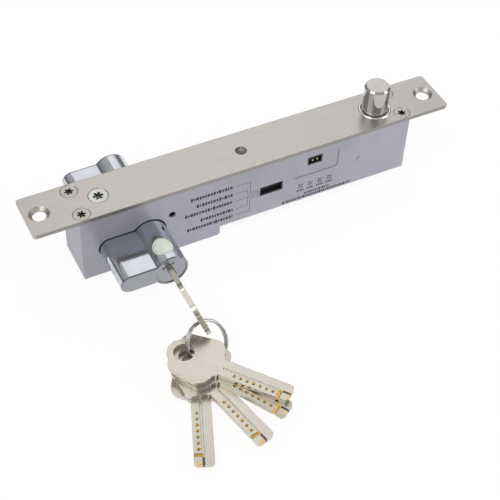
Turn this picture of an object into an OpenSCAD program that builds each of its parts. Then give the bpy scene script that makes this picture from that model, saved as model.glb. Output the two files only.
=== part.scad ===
// Electric drop-bolt lock with a double profile cylinder and a ring of keys.
// Millimetres. The origin is midway between the two fixing holes, on the back face of the faceplate.
// X runs along the plate towards the bolt, Z out of the plate's front, and Y away from the printed side.

/* [Faceplate] */
// Length of the faceplate
plate_l = 216; // [212:1:240]
// Width of the faceplate
plate_w = 25; // [24.5:0.5:34]
// Thickness of the faceplate
plate_t = 2; // [1.8:0.1:2.4]
// Corner radius of the faceplate
plate_corner_r = 1.5; // [0.5:0.5:3]
// Distance between the two fixing holes
fix_pitch = 202; // [198:1:204]
// Radius of a fixing hole
fix_hole_r = 3.2; // [2.2:0.1:3.6]
// Radius of a fixing hole's countersink at the front face
fix_sink_r = 4.9; // [4.2:0.1:5.4]
// Depth of the straight part left under a fixing hole's countersink
fix_land = 0.6; // [0.3:0.1:0.8]

/* [Case] */
// Length of the case
case_l = 173; // [172:0.5:176]
// Width of the case
case_w = 23.6; // [23.4:0.1:24.4]
// Depth of the case round the cylinder, from the back of the faceplate
case_deep = 37; // [36:0.5:42]
// Depth of the rest of the case
case_shallow = 31.6; // [31.4:0.1:34]
// Place along the plate where the case steps from deep to shallow
case_step_x = -16.7; // [-17.5:0.1:-15.5]
// Radius of the step's outer corner
case_step_r = 1.5; // [0.5:0.1:2]
// Wall thickness of the case
wall = 1.4; // [1.2:0.1:1.6]
// Thickness of the rear cover
cover_t = 1.2; // [1:0.1:1.4]
// Distance of the case screws from the middle of the plate, along it
case_screw_x = 83.9; // [83.6:0.1:84.4]
// Distance of the case screws from the middle of the plate, across it
case_screw_y = 8; // [7:0.1:8.2]
// Head radius of a case screw
case_screw_head_r = 4.2; // [3.6:0.1:4.2]
// Shank radius of a case screw
case_screw_r = 2; // [1.5:0.1:2]
// Length of a case screw under the front face
case_screw_len = 10; // [8:0.5:12]

/* [Bolt] */
// Place of the bolt along the plate
bolt_x = 73; // [72.6:0.1:73.2]
// Radius of the bolt
bolt_r = 6.3; // [5.9:0.1:6.5]
// Length of the bolt that stands out of the front face
bolt_out = 14.8; // [13:0.1:15]
// Length of the bolt inside the case, below the back of the plate
bolt_in = 15.2; // [14.6:0.1:15.4]
// Chamfer round the top of the bolt
bolt_chamfer = 0.9; // [0.3:0.1:1.5]
// Outer radius of the bolt's guide bush
bush_r = 8.05; // [7.6:0.05:8.2]
// Depth of the guide bush below the back of the plate
bush_depth = 11; // [8:0.5:11]
// Radius of the cross pins in the bolt and in the plunger
pin_r = 1.25; // [1:0.05:1.4]

/* [Mechanism] */
// Place of the crank's pivot along the plate
crank_x = 56; // [55.8:0.1:56.4]
// Height of the crank's pivot
crank_z = -19.8; // [-20.2:0.1:-19.6]
// Radius of the crank's pivot pin
crank_pin_r = 2; // [1.6:0.1:2.2]
// Thickness of the crank
crank_t = 4; // [3:0.1:4.2]
// Length of the crank's lower arm, down to the plunger's pin
crank_down = 7.6; // [7.2:0.1:7.8]
// Radius of the plunger
plunger_r = 3.5; // [3:0.1:3.7]
// Length of the solenoid's frame
coil_l = 38; // [34:0.5:39]
// Place of the solenoid frame's end nearest the bolt
coil_x1 = 34; // [32:0.5:35]
// Outer radius of the winding
winding_r = 6.8; // [5.8:0.1:7]
// Thickness of the solenoid's frame
coil_frame_t = 1.5; // [1:0.1:1.6]

/* [Cylinder] */
// Place of the cylinder's barrel along the plate
cyl_x = -53.4; // [-54:0.1:-53]
// Height of the barrel's middle
cyl_z = -20.6; // [-21:0.1:-20]
// Length of the cylinder
cyl_len = 75.2; // [70:0.2:90]
// Radius of the barrel
barrel_r = 8.5; // [8.5:0.05:8.6]
// Width of the leg
leg_w = 10; // [9.8:0.1:10.2]
// Height of the cylinder's section, from the barrel's edge to the leg's end
cyl_h = 33.1; // [32.6:0.1:33.4]
// Radius of a plug
plug_r = 6.4; // [6.2:0.05:6.5]
// Number of pins on each side
pin_count = 5; // [4:1:6]
// Spacing of the pins
pin_pitch = 4.5; // [4.2:0.1:4.8]
// Turn of the front plug from its upright keyway
plug_turn = -20; // [-20:1:-18]

/* [Keys] */
// Whole length of a key
key_l = 58; // [57.5:0.5:59]
// Length of a key's blade
blade_l = 33.5; // [32:0.5:35]
// Width of a key's blade
blade_w = 8.6; // [8:0.1:8.6]
// Thickness of a key
key_t = 2.3; // [2:0.05:2.3]
// Width of a key's bow
bow_w = 25; // [23:0.5:25]
// Radius of the hole in a key's bow
bow_hole_r = 4.6; // [4.5:0.1:4.7]
// Distance from a key's tip to the middle of its bow's hole
hole_from_tip = 50.5; // [50:0.1:50.8]
// Length of the blade left out of the cylinder
blade_out = 14.1; // [13.9:0.1:14.3]
// Outer radius of the split ring
ring_r = 11; // [10.9:0.1:11.1]
// Radius of the split ring's wire
wire_r = 0.65; // [0.5:0.05:0.7]
// Number of loose keys on the ring
spare_count = 4; // [1:1:4]

/* [Hidden] */
$fn = 48;
fit = 0.05;
gap = 0.3;
eps = 0.01;

// Case faces and cavity
case_x0 = -case_l / 2;
case_x1 = case_l / 2;
case_y0 = -case_w / 2;
case_y1 = case_w / 2;
cover_y = case_y1 - cover_t;
inner_y0 = case_y0 + wall;
floor_deep = -case_deep + wall;
floor_shallow = -case_shallow + wall;
front_z = plate_t;

// End blocks that take the case screws
left_block_x1 = case_x0 + wall + 5.8;
right_block_x0 = case_x1 - wall - 4.8;
block_h = 17;
cover_screw_r = 1.25;
cover_screw_head_r = 2.4;
cover_screw_len = 6;
cover_post_r = 2.7;
post_sink = 0.5;
post_in = wall + cover_post_r - post_sink;
cover_post_x = case_x1 - post_in;
cover_screws_at = [[-cover_post_x, -14], [cover_post_x, -14],
    [-cover_post_x, -case_deep + post_in], [cover_post_x, -case_shallow + post_in],
    [case_step_x - post_in, -case_deep + post_in]];

// Openings in the printed side
slot_x0 = 4.4;
slot_x1 = 16.8;
slot_z0 = -20;
slot_z1 = -14.4;
header_x0 = 30.1;
header_x1 = 38.2;
header_z0 = -10;
header_z1 = -5.1;
panel_x0 = 22;
panel_x1 = 47.3;
panel_z0 = -16.2;
panel_z1 = -3.7;
panel_r = 2;
panel_depth = 0.4;
sight_hole = [-41.5, -13.05];
sight_hole_r = 1.75;
rivet_at = [59.7, -16.7];
rivet_head_r = 1.5;
rivet_r = 0.9;
rivet_tail_r = 1.3;

// Cylinder fixing screw and LED
cyl_screw_x = cyl_x - 19.4;
cyl_screw_head_r = 4.8;
cyl_screw_r = 2.5;
cyl_screw_past = 3.5;
cyl_recess_r = 2.4;
case_recess_r = 2;
cover_recess_r = 1.3;
recess_share = 0.6;
seat_drop = 0.2;
led_x = -0.5;
led_r = 1.5;
bezel_r = 2.75;

// Bolt, crank and plunger
turn_sink = 0.05;
wiper_half = 0.6;
wiper_depth = 0.3;
bush_lip_h = 0.35;
bush_lip_w = 0.7;
travel = bolt_out;
bolt_pin_z = crank_z + travel / 2;
arm_reach = bolt_x - crank_x;
crank_turn = atan(travel / 2 / arm_reach);
fork_w = crank_t + 0.6;
slot_play = 0.3;
arm_half = pin_r + slot_play + 1.1;
arm_far = arm_reach / cos(crank_turn);
plunger_pin_x = crank_x + crank_down * tan(crank_turn);
plunger_stroke = 2 * crank_down * tan(crank_turn);
plunger_pin_z = crank_z - crank_down;
coil_x0 = coil_x1 - coil_l;
coil_half = winding_r + 2 * gap + 0.2 + coil_frame_t;
coil_z = floor_shallow + coil_half;
coil_half_y = 6;
core_x1 = coil_x0 + 12;
plunger_x0 = core_x1 + plunger_stroke + 2 * gap;
collar_t = 3.5;
collar_x1 = crank_x - 6.5;
collar_x0 = collar_x1 - collar_t;
cheek_t = 2;
cheek_y = crank_t / 2 + 0.4;
clevis_half = cheek_y + cheek_t;
cheek_z0 = plunger_pin_z - 1.9;
cheek_z1 = plunger_pin_z + 3.1;
crank_boss_r = 3.4;

// Override bar, pulled along by the cam's nose
nose_r = 15;
nose_half = 3.2;
nose_turn = plug_turn + 20;
cam_half = 4.2;
nose_tip_x = cyl_x + nose_r * sin(nose_turn);
bar_y0 = 6.6;
bar_y1 = 9.4;
bar_z0 = -9.5;
bar_z1 = -5;
yoke_z1 = -3;
notch_half = nose_half + 1.5;
yoke_wall = 2.5;
bar_stroke = 5;
hook_t = 1.8;
hook_x0 = collar_x1 + bar_stroke + gap;
hook_z0 = crank_z + crank_boss_r + 0.6;
lug_z1 = -12;

// Circuit board behind the printed side
board_t = 1.4;
board_y0 = case_y0 + 3.2;
board_y1 = board_y0 + board_t;
board_x0 = -14;
board_x1 = 46;
board_z0 = -28;
board_z1 = -3;
board_post_r = 2;
board_posts = [[board_x0 + 3, board_z0 + 3], [board_x0 + 3, board_z1 - 3], [board_x1 - 3, board_z0 + 3]];

// Connector and header: pin places, shell walls and recesses
shell_play = 0.1;
shell_wall = 0.6;
wire_ways = 5;
wire_pitch = 2.3;
wire_z = (slot_z0 + slot_z1) / 2;
wire_pin_r = 0.32;
wire_sunk = 0.3;
wire_recess = 1.8;
header_pitch = 2.54;
header_z = (header_z0 + header_z1) / 2;
header_pin_r = 0.42;
header_tail_r = 0.36;
header_sunk = 0.5;
header_recess = 1.4;
pin_stub = 0.8;
wire_places = [for (i = [0:wire_ways - 1])
    [(slot_x0 + slot_x1) / 2 + (i - (wire_ways - 1) / 2) * wire_pitch, wire_z]];
header_places = [for (s = [-1, 1]) [(header_x0 + header_x1) / 2 + s * header_pitch / 2, header_z]];
pin_places = concat(wire_places, header_places);

// Parts on the board: lowest and highest X and Z, and how far they reach in Y
relay_x = [6, 21];
relay_z = [-11.6, -4.6];
relay_y1 = -1;
chip_x = [37, 43.5];
chip_z = [-26, -20];
chip_h = 1.5;
capacitor_at = [-6, -8];
capacitor_r = 3;
capacitor_y1 = -0.5;
sensor_x = [38, 45.5];
sensor_z = [-11, -3.5];
sensor_y1 = -3.4;
bolt_sensor_half = 4;
bolt_sensor_z = [-23.6, -block_h - 1.2];

// Guides of the override bar
guide_places = [-30, 24];
guide_l = 4;
guide_wall = 0.8;

// Profile cylinder
cyl_y1 = cyl_len / 2 + 0.2;
cyl_y0 = -cyl_len / 2 + 0.2;
cyl_play = 0.5;
cam_gap = cam_half + 1;
plug_nose_r = 4.9;
chamber_r = 1.5;
pin_body_r = 1.4;
first_pin = 4.5;
leg_end = cyl_h - barrel_r;
keyway_t = key_t + 0.4;
keyway_w = blade_w + 0.4;
driver_r0 = plug_r + 0.15;
driver_l = 5;
plug_cap_l = 3.6;
flange_r = 7.4;
flange_t = 1.2;
flange_sunk = 0.4;
spot_r = 0.8;
spot_depth = 0.8;
spot_at = [2.4, 3.9];
clip_r = 7.6;
clip_t = 0.7;

// Keys and ring
bow_l = key_l - blade_l;
lug_out = 1.1;
lug_l = 1.2;
tip_y = cyl_y0 - blade_out + blade_l;
ring_yaw = 20;
ring_mid_r = ring_r - wire_r;
ring_lean = 38;
ring_c = [-54.2, -77.1, -case_deep + 0.55 + ring_r * cos(ring_lean)];
layer_t = key_t + 0.1;
layer_z0 = -case_deep + 3.2;
spare_angles = [-112, -77, -59, -51];
spare_shift = [0.6, 1.2, 0.6, 2.4];

// Extrudes a profile drawn in X and Z from y0 to y1
module xz(y0, y1) {
    translate([0, y1, 0]) rotate([90, 0, 0]) linear_extrude(y1 - y0) children();
}

// A rod along Y
module rod_y(x, z, r, y0, y1) {
    translate([x, y1, z]) rotate([90, 0, 0]) cylinder(r = r, h = y1 - y0);
}

// A rod along X
module rod_x(y, z, r, x0, x1) {
    translate([x0, y, z]) rotate([0, 90, 0]) cylinder(r = r, h = x1 - x0);
}

// A box between two corners
module block(a, b) {
    translate(a) cube(b - a);
}

// A rectangle with round corners, between two corners
module round_rect(a, b, r) {
    translate([a[0] + r, a[1]]) square([b[0] - a[0] - 2 * r, b[1] - a[1]]);
    translate([a[0], a[1] + r]) square([b[0] - a[0], b[1] - a[1] - 2 * r]);
    for (x = [a[0] + r, b[0] - r], y = [a[1] + r, b[1] - r]) translate([x, y]) circle(r);
}

// Height of a countersunk head that seats in a plate
function sink_h(head_r, r, seat_t) = min(head_r - r, seat_t);

// A countersunk screw along -Z, its head a drop below z = 0, with a six-lobed recess
module sunk_screw(head_r, r, len, recess, seat_t, drop = 0) {
    head_h = sink_h(head_r, r, seat_t);
    top_r = head_r - drop * (head_r - r) / head_h;
    difference() {
        union() {
            translate([0, 0, -head_h]) cylinder(r1 = r, r2 = top_r, h = head_h - drop);
            translate([0, 0, -len]) cylinder(r = r, h = len - head_h + eps);
        }
        for (a = [0, 60, 120]) rotate([0, 0, a])
            translate([-recess, -recess / 4, -drop - head_h * recess_share])
                cube([2 * recess, recess / 2, head_h]);
    }
}

// A helical spring along Z from 0 to len
module helix(mean_r, w, len, turns, sides, steps) {
    n = ceil(turns * steps);
    lead = (len - 2 * w) / turns;
    points = [for (i = [0:n], j = [0:sides - 1])
        let (a = 360 * i / steps, b = 360 * j / sides, r = mean_r + w * cos(b))
        [r * cos(a), r * sin(a), w + lead * i / steps + w * sin(b)]];
    quads = [for (i = [0:n - 1], j = [0:sides - 1])
        let (k = (j + 1) % sides)
        [i * sides + j, i * sides + k, (i + 1) * sides + k, (i + 1) * sides + j]];
    polyhedron(points, concat([[for (j = [0:sides - 1]) sides - 1 - j]], quads,
        [[for (j = [0:sides - 1]) n * sides + j]]), convexity = 8);
}

module faceplate() {
    color([0.78, 0.76, 0.73]) difference() {
        linear_extrude(plate_t) round_rect([-plate_l / 2, -plate_w / 2], [plate_l / 2, plate_w / 2],
            plate_corner_r);
        for (s = [-1, 1]) translate([s * fix_pitch / 2, 0, 0]) {
            translate([0, 0, -1]) cylinder(r = fix_hole_r, h = plate_t + 2);
            translate([0, 0, fix_land]) cylinder(r1 = fix_hole_r, r2 = fix_sink_r, h = plate_t - fix_land);
        }
        for (x = [-1, 1], y = [-1, 1]) translate([x * case_screw_x, y * case_screw_y, 0])
            plate_sink(case_screw_head_r, case_screw_r);
        translate([cyl_screw_x, 0, 0]) plate_sink(cyl_screw_head_r, cyl_screw_r);
        translate([led_x, 0, -1]) cylinder(r = bezel_r + fit, h = plate_t + 2);
        translate([bolt_x, 0, -1]) cylinder(r = bush_r + fit, h = plate_t + 2);
    }
}

// Seat of a countersunk head in the plate
module plate_sink(head_r, r) {
    translate([0, 0, -1]) cylinder(r = r + fit, h = plate_t + 2);
    head_h = sink_h(head_r, r, plate_t);
    translate([0, 0, plate_t - head_h]) cylinder(r1 = r + fit, r2 = head_r + fit, h = head_h);
}

// Outline of the case in X and Z, drawn in by a margin
module case_outline(m) {
    translate([case_x0 + m, -case_deep + m])
        square([case_step_x - case_step_r - case_x0 - m + eps, case_deep - m]);
    translate([case_x0 + m, -case_deep + m + case_step_r])
        square([case_step_x - case_x0 - 2 * m, case_deep - m - case_step_r]);
    translate([case_step_x - m - case_step_r, -case_deep + m + case_step_r]) circle(case_step_r);
    translate([case_x0 + m, -case_shallow + m]) square([case_l - 2 * m, case_shallow - m]);
}

// Section of the profile cylinder, drawn out by a margin
module cyl_profile(m) {
    translate([cyl_x, cyl_z]) {
        circle(barrel_r + m);
        translate([-leg_end + leg_w / 2, -leg_w / 2 - m]) square([leg_end - leg_w / 2, leg_w + 2 * m]);
        translate([-leg_end + leg_w / 2, 0]) circle(leg_w / 2 + m);
    }
}

module case() {
    color([0.69, 0.69, 0.73]) difference() {
        union() {
            difference() {
                xz(case_y0, cover_y) case_outline(0);
                xz(case_y0 + wall, cover_y + 1) {
                    case_outline(wall);
                    translate([case_x0 + wall, -wall]) square([case_l - 2 * wall, wall + 1]);
                }
            }
            block([case_x0 + eps, case_y0 + eps, -block_h], [left_block_x1, cover_y, 0]);
            block([right_block_x0, case_y0 + eps, -block_h], [case_x1 - eps, cover_y, 0]);
            for (p = [cover_screws_at[2], cover_screws_at[3], cover_screws_at[4]])
                rod_y(p[0], p[1], cover_post_r, case_y0 + eps, cover_y);
            for (p = board_posts) rod_y(p[0], p[1], board_post_r, case_y0 + eps, board_y0);
            rod_y(crank_x, crank_z, crank_boss_r, case_y0 + eps, -crank_t / 2 - gap);
        }
        for (p = cover_screws_at)
            rod_y(p[0], p[1], cover_screw_r + fit, cover_y - cover_screw_len, cover_y + 1);
        for (x = [-1, 1], y = [-1, 1]) translate([x * case_screw_x, y * case_screw_y, -case_screw_len])
            cylinder(r = case_screw_r + fit, h = case_screw_len + 1);
        translate([bolt_x, 0, -bush_depth - gap]) cylinder(r = bush_r + fit, h = bush_depth + 1);
        rod_y(crank_x, crank_z, crank_pin_r + fit, inner_y0, 0);
        xz(case_y0 - 1, 0) cyl_profile(cyl_play);
        block([slot_x0, case_y0 - 1, slot_z0], [slot_x1, case_y0 + wall + 1, slot_z1]);
        block([header_x0, case_y0 - 1, header_z0], [header_x1, case_y0 + wall + 1, header_z1]);
        xz(case_y0 - 1, case_y0 + panel_depth)
            round_rect([panel_x0, panel_z0], [panel_x1, panel_z1], panel_r);
        rod_y(sight_hole[0], sight_hole[1], sight_hole_r, case_y0 - 1, case_y0 + wall + 1);
        rod_y(rivet_at[0], rivet_at[1], rivet_r + fit, case_y0 - 1, case_y0 + wall + 1);
    }
}

module rear_cover() {
    color([0.69, 0.69, 0.73]) difference() {
        union() {
            xz(cover_y, case_y1) case_outline(0);
            rod_y(crank_x, crank_z, crank_boss_r, crank_t / 2 + gap, cover_y + eps);
        }
        rod_y(crank_x, crank_z, crank_pin_r + fit, 0, cover_y);
        xz(0, case_y1 + 1) cyl_profile(cyl_play);
        for (p = cover_screws_at) {
            rod_y(p[0], p[1], cover_screw_r + fit, cover_y - 1, case_y1 + 1);
            translate([p[0], case_y1, p[1]]) rotate([90, 0, 0])
                cylinder(r1 = cover_screw_head_r + fit, r2 = cover_screw_r + fit,
                    h = sink_h(cover_screw_head_r, cover_screw_r, cover_t));
        }
    }
}

module cover_screws() {
    color([0.72, 0.72, 0.74]) for (p = cover_screws_at)
        translate([p[0], case_y1, p[1]]) rotate([-90, 0, 0])
            sunk_screw(cover_screw_head_r, cover_screw_r, cover_screw_len, cover_recess_r, cover_t);
}

module case_screws() {
    color([0.62, 0.61, 0.6]) for (x = [-1, 1], y = [-1, 1])
        translate([x * case_screw_x, y * case_screw_y, front_z])
            sunk_screw(case_screw_head_r, case_screw_r, case_screw_len, case_recess_r, plate_t, seat_drop);
}

module case_rivet() {
    color([0.7, 0.7, 0.72]) {
        rod_y(rivet_at[0], rivet_at[1], rivet_head_r, case_y0 - 0.25, case_y0);
        rod_y(rivet_at[0], rivet_at[1], rivet_r, case_y0 - 0.1, case_y0 + wall + 0.1);
        rod_y(rivet_at[0], rivet_at[1], rivet_tail_r, case_y0 + wall, case_y0 + wall + 0.5);
    }
}

module cylinder_screw() {
    color([0.75, 0.75, 0.76]) translate([cyl_screw_x, 0, front_z])
        sunk_screw(cyl_screw_head_r, cyl_screw_r, front_z - cyl_z + cyl_screw_past, cyl_recess_r, plate_t,
            seat_drop);
}

module led_bezel() {
    color([0.12, 0.12, 0.13]) translate([led_x, 0, 0]) difference() {
        union() {
            translate([0, 0, -3]) cylinder(r = bezel_r, h = 3 + front_z);
            translate([0, 0, front_z]) cylinder(r1 = bezel_r, r2 = bezel_r - 0.3, h = 0.3);
        }
        translate([0, 0, -4]) cylinder(r = led_r + fit, h = 8);
    }
}

module led_lens() {
    color([0.85, 0.88, 0.9]) translate([led_x, 0, 0]) {
        translate([0, 0, -3.6]) cylinder(r = led_r, h = 3.6 + front_z);
        intersection() {
            translate([0, 0, front_z]) sphere(led_r);
            translate([0, 0, front_z + 1 - eps]) cube([4, 4, 2], center = true);
        }
        translate([0, 0, -4.6]) cylinder(r = led_r + 0.6, h = 1);
    }
}

module bolt_bush() {
    color([0.82, 0.82, 0.83]) translate([bolt_x, 0, 0]) difference() {
        union() {
            translate([0, 0, -bush_depth]) cylinder(r = bush_r, h = bush_depth + front_z);
            translate([0, 0, front_z]) cylinder(r1 = bush_r, r2 = bush_r - bush_lip_h, h = bush_lip_h);
        }
        translate([0, 0, -bush_depth - 1]) cylinder(r = bolt_r + fit, h = bush_depth + front_z + 2);
        translate([0, 0, front_z - bush_lip_h])
            cylinder(r1 = bolt_r + fit, r2 = bush_r - bush_lip_w, h = 2 * bush_lip_h);
        translate([0, 0, front_z + bush_lip_h - eps]) cylinder(r = bush_r, h = 1);
    }
}

module bolt() {
    color([0.8, 0.8, 0.8]) translate([bolt_x, 0, 0]) difference() {
        union() {
            translate([0, 0, -bolt_in]) cylinder(r = bolt_r, h = bolt_in + front_z + bolt_out - bolt_chamfer);
            translate([0, 0, front_z + bolt_out - bolt_chamfer])
                cylinder(r1 = bolt_r, r2 = bolt_r - bolt_chamfer, h = bolt_chamfer);
        }
        translate([0, 0, front_z - wiper_half]) difference() {
            cylinder(r = bolt_r + 1, h = 2 * wiper_half);
            translate([0, 0, -1]) cylinder(r = bolt_r - wiper_depth, h = 2 * wiper_half + 2);
        }
        block([-bolt_r - 1, -fork_w / 2, -bolt_in - 1], [bolt_r + 1, fork_w / 2, bolt_pin_z + 6.6]);
        rod_y(0, bolt_pin_z, pin_r + fit, -bolt_r - 1, bolt_r + 1);
    }
}

module bolt_pin() {
    pin_half = sqrt(bolt_r * bolt_r - pin_r * pin_r) - fit;
    color([0.6, 0.6, 0.62]) rod_y(bolt_x, bolt_pin_z, pin_r, -pin_half, pin_half);
}

// The bell crank, at the angle it has with the bolt out
module crank() {
    color([0.66, 0.6, 0.45]) translate([crank_x, 0, crank_z]) rotate([0, -crank_turn, 0]) difference() {
        union() {
            rod_y(0, 0, 5, -crank_t / 2, crank_t / 2);
            block([0, -crank_t / 2, -arm_half], [arm_far + slot_play, crank_t / 2, arm_half]);
            rod_y(arm_far + slot_play, 0, arm_half, -crank_t / 2, crank_t / 2);
            block([-arm_half, -crank_t / 2, -crank_down - 2.3], [arm_half, crank_t / 2, 0]);
        }
        rod_y(0, 0, crank_pin_r + fit, -crank_t, crank_t);
        block([arm_reach, -crank_t, -pin_r - slot_play], [arm_far, crank_t, pin_r + slot_play]);
        rod_y(arm_reach, 0, pin_r + slot_play, -crank_t, crank_t);
        rod_y(arm_far, 0, pin_r + slot_play, -crank_t, crank_t);
        block([-pin_r - slot_play, -crank_t, -crank_down - 4], [pin_r + slot_play, crank_t, -crank_down]);
        rod_y(0, -crank_down, pin_r + slot_play, -crank_t, crank_t);
    }
}

module crank_pin() {
    color([0.6, 0.6, 0.62]) rod_y(crank_x, crank_z, crank_pin_r, inner_y0 + fit, cover_y - fit);
}

module plunger() {
    color([0.7, 0.7, 0.72]) difference() {
        union() {
            rod_x(0, coil_z, plunger_r, plunger_x0, collar_x0 + eps);
            block([collar_x0, -clevis_half, cheek_z0], [collar_x1, clevis_half, coil_z + plunger_r]);
            block([collar_x0, clevis_half - eps, coil_z], [collar_x1, bar_y1 - 0.2, lug_z1]);
            block([collar_x0, 1, coil_z + plunger_r - 2], [collar_x1, bar_y1 - 0.2, coil_z + plunger_r]);
            for (s = [0, 1]) mirror([0, s, 0])
                block([collar_x1 - eps, cheek_y, cheek_z0], [plunger_pin_x + 2.5, clevis_half, cheek_z1]);
        }
        rod_y(plunger_pin_x, plunger_pin_z, pin_r + fit, -clevis_half - 1, clevis_half + 1);
    }
}

module plunger_pin() {
    color([0.6, 0.6, 0.62]) rod_y(plunger_pin_x, plunger_pin_z, pin_r, -clevis_half, clevis_half);
}

module plunger_spring() {
    color([0.65, 0.65, 0.68]) translate([coil_x1, 0, coil_z]) rotate([0, 90, 0])
        helix(4.6, 0.4, collar_x0 - coil_x1, 5, 6, 12);
}

module solenoid_frame() {
    color([0.62, 0.62, 0.64]) difference() {
        block([coil_x0, -coil_half_y, coil_z - coil_half], [coil_x1, coil_half_y, coil_z + coil_half]);
        block([coil_x0 + coil_frame_t, -coil_half_y - 1, coil_z - coil_half + coil_frame_t],
            [coil_x1 - coil_frame_t, coil_half_y + 1, coil_z + coil_half - coil_frame_t]);
        rod_x(0, coil_z, plunger_r + 2 * fit, coil_x0 - 1, coil_x1 + 1);
    }
}

module coil_bobbin() {
    x0 = coil_x0 + coil_frame_t;
    x1 = coil_x1 - coil_frame_t;
    flange_r = winding_r + gap;
    color([0.93, 0.92, 0.88]) difference() {
        union() {
            rod_x(0, coil_z, plunger_r + 0.8, x0, x1);
            rod_x(0, coil_z, flange_r, x0, x0 + 1.2);
            rod_x(0, coil_z, flange_r, x1 - 1.2, x1);
        }
        rod_x(0, coil_z, plunger_r + 2 * fit, x0 - 1, x1 + 1);
    }
}

module coil_winding() {
    x0 = coil_x0 + coil_frame_t + 1.2;
    x1 = coil_x1 - coil_frame_t - 1.2;
    color([0.72, 0.42, 0.22]) difference() {
        rod_x(0, coil_z, winding_r, x0, x1);
        rod_x(0, coil_z, plunger_r + 0.8, x0 - 1, x1 + 1);
    }
}

module solenoid_core() {
    color([0.62, 0.62, 0.64]) {
        rod_x(0, coil_z, plunger_r, coil_x0 - eps, core_x1);
        rod_x(0, coil_z, plunger_r + 1, coil_x0 - 1.2, coil_x0);
    }
}

module circuit_board() {
    color([0.1, 0.35, 0.2]) difference() {
        block([board_x0, board_y0, board_z0], [board_x1, board_y1, board_z1]);
        for (p = pin_places) rod_y(p[0], p[1], 0.4, board_y0 - 1, board_y1 + 1);
    }
}

module wire_connector() {
    y0 = case_y0 + wire_sunk;
    m = shell_play;
    w = shell_play + shell_wall;
    color([0.05, 0.05, 0.06]) difference() {
        block([slot_x0 + m, y0, slot_z0 + m], [slot_x1 - m, board_y0, slot_z1 - m]);
        block([slot_x0 + w, y0 - 1, slot_z0 + w], [slot_x1 - w, y0 + wire_recess, slot_z1 - w]);
        for (p = wire_places) rod_y(p[0], p[1], wire_pin_r + fit, y0, board_y0 + 1);
    }
}

module connector_pins() {
    color([0.8, 0.68, 0.35]) for (p = wire_places)
        rod_y(p[0], p[1], wire_pin_r, case_y0 + wire_sunk + wire_recess - 0.3, board_y1 + pin_stub);
}

module delay_header() {
    y0 = case_y0 + header_sunk;
    m = shell_play;
    w = shell_play + shell_wall;
    color([0.05, 0.05, 0.06]) difference() {
        block([header_x0 + m, y0, header_z0 + m], [header_x1 - m, board_y0, header_z1 - m]);
        block([header_x0 + w, y0 - 1, header_z0 + w], [header_x1 - w, y0 + header_recess, header_z1 - w]);
        for (p = header_places) rod_y(p[0], p[1], header_pin_r + fit, case_y0, board_y0 + 1);
    }
}

module header_pins() {
    color([0.85, 0.72, 0.38]) for (p = header_places) {
        rod_y(p[0], p[1], header_pin_r, case_y0 + header_sunk + fit, board_y0);
        rod_y(p[0], p[1], header_tail_r, board_y0 - eps, board_y1 + pin_stub);
    }
}

module relay() {
    color([0.1, 0.2, 0.45]) block([relay_x[0], board_y1, relay_z[0]], [relay_x[1], relay_y1, relay_z[1]]);
}

module control_chip() {
    color([0.1, 0.1, 0.1]) block([chip_x[0], board_y1, chip_z[0]], [chip_x[1], board_y1 + chip_h, chip_z[1]]);
}

module capacitor() {
    color([0.15, 0.15, 0.2]) rod_y(capacitor_at[0], capacitor_at[1], capacitor_r, board_y1, capacitor_y1);
}

module door_sensor() {
    color([0.12, 0.12, 0.12])
        block([sensor_x[0], board_y1, sensor_z[0]], [sensor_x[1], sensor_y1, sensor_z[1]]);
}

module bolt_sensor() {
    color([0.12, 0.12, 0.12]) block([right_block_x0 + gap, -bolt_sensor_half, bolt_sensor_z[0]],
        [case_x1 - wall, bolt_sensor_half, bolt_sensor_z[1]]);
}

// A sliding bar with a notch for the cam's nose at one end and a hook for the plunger's lug at the other
module override_bar() {
    yoke_x0 = nose_tip_x - notch_half - yoke_wall;
    yoke_x1 = nose_tip_x + notch_half + yoke_wall;
    color([0.7, 0.7, 0.72]) difference() {
        union() {
            block([yoke_x0, -cam_half, bar_z0], [yoke_x1, bar_y1, yoke_z1]);
            block([yoke_x1 - eps, bar_y0, bar_z0], [hook_x0 + hook_t, bar_y1, bar_z1]);
            block([hook_x0, bar_y0, hook_z0], [hook_x0 + hook_t, bar_y1, bar_z0 + eps]);
        }
        block([nose_tip_x - notch_half, -cam_half - 1, bar_z0 - 1],
            [nose_tip_x + notch_half, cam_half + 0.5, cyl_z + nose_r + 0.4]);
    }
}

module bar_guides() {
    color([0.62, 0.62, 0.64]) for (x = guide_places) difference() {
        block([x, bar_y0 - guide_wall, bar_z0 - guide_wall], [x + guide_l, cover_y, bar_z1 + guide_wall]);
        block([x - 1, bar_y0 - fit, bar_z0 - fit], [x + guide_l + 1, bar_y1 + fit, bar_z1 + fit]);
    }
}

// Distances of the pins from the cylinder's middle, mirrored for the rear half
function pin_y(side, i) = 0.2 + side * (cyl_len / 2 - first_pin - i * pin_pitch);

// Children of one pin chamber, drawn along X away from the barrel's middle
module at_pins(side, turn) {
    for (i = [0:pin_count - 1]) translate([cyl_x, pin_y(side, i), cyl_z]) rotate([0, turn, 0])
        rotate([0, -90, 0]) children();
}

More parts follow.
